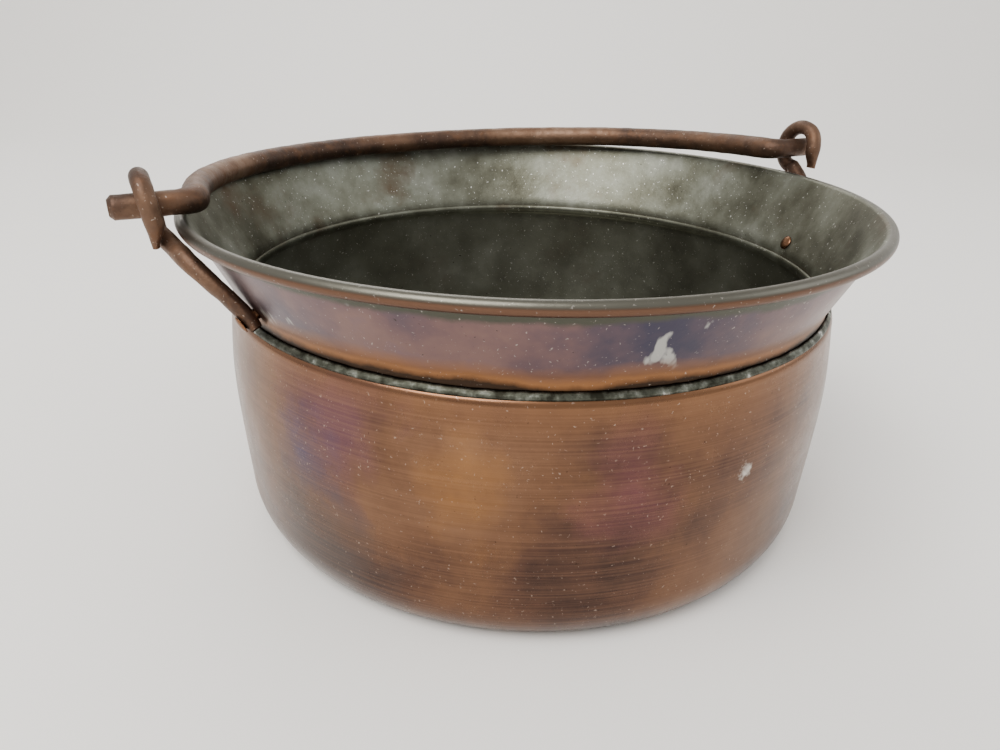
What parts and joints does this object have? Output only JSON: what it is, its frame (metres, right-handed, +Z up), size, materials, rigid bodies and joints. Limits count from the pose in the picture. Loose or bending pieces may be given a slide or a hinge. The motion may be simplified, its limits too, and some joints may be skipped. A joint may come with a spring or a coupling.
{
  "type": "copper cauldron",
  "caption": "Hand-made copper cauldron with a flared collar, a rim rolled over wire and a swinging iron bail held in two forged ears.",
  "frame": {"origin": "middle of the flat base, on the surface that it stands on", "axes": "+X along the bail's hinge, towards the higher ear; +Y towards the side that the bail rests on; +Z up"},
  "size_m": [0.346, 0.3052, 0.169],
  "materials": {
    "copper": "worn hammered copper, tinned inside",
    "tin": "dull tin solder",
    "iron": "rusty forged wrought iron"
  },
  "bodies": {
    "pot": {"pan": "copper", "collar": "copper", "rim_wire": "iron", "neck_solder": "tin", "ear_left": "iron", "ear_right": "iron", "ear_rivet_left": "copper", "ear_rivet_right": "copper"},
    "bail": {"bail": "iron"}
  },
  "joints": [
    {"name": "bail_swing", "type": "hinge", "parent": "pot", "child": "bail", "pos_m": [0, 0, 0.15255], "axis": [0.9999, 0, 0.0172], "range_deg": [0, 184.4]}
  ]
}
